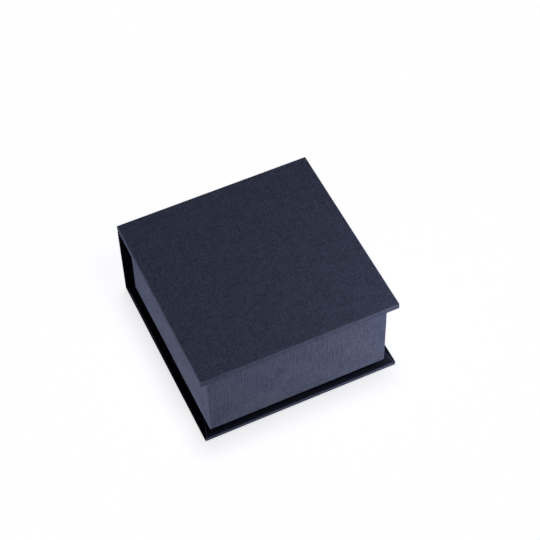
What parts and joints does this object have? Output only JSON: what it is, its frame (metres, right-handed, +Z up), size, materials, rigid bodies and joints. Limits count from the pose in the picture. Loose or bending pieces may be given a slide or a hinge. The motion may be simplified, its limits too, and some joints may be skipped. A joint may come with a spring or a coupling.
{
  "type": "lidded box",
  "caption": "Small square box covered in navy book cloth: a board tray glued in a book-style case whose overhanging flat lid turns on a cloth hinge at the spine.",
  "frame": {"origin": "centre of the underside, on the surface that the closed box stands on", "axes": "+Z up, -Y towards the front where the lid opens, +Y towards the spine, +X to the right seen from the front"},
  "size_m": [0.11, 0.11, 0.0545],
  "materials": {
    "book_cloth": "matt navy book cloth in a fine plain weave with slubby threads",
    "lining_paper": "matt dark navy lining paper with a faint fibre",
    "greyboard": "bare grey binder's board",
    "filler_card": "bare buff card",
    "stay_paper": "brown gummed paper"
  },
  "bodies": {
    "tray": {"base_board": "greyboard", "base_cloth": "book_cloth", "base_filler": "filler_card", "spine_board": "greyboard", "spine_cloth": "book_cloth", "spine_filler": "filler_card", "joint_strip_spine": "book_cloth", "hinge_fold": "book_cloth", "tray_floor_board": "greyboard", "tray_front_board": "greyboard", "tray_back_board": "greyboard", "tray_left_board": "greyboard", "tray_right_board": "greyboard", "corner_stays": "stay_paper", "tray_cloth": "book_cloth", "tray_wall_lining": "lining_paper", "tray_floor_lining": "lining_paper"},
    "lid": {"lid_board": "greyboard", "lid_cloth": "book_cloth", "joint_strip_lid": "book_cloth", "lid_lining": "lining_paper"}
  },
  "joints": [
    {"name": "lid_hinge", "type": "hinge", "parent": "tray", "child": "lid", "pos_m": [0, 0.055, 0.05063], "axis": [-1, 0, 0], "range_deg": [0, 178]}
  ]
}
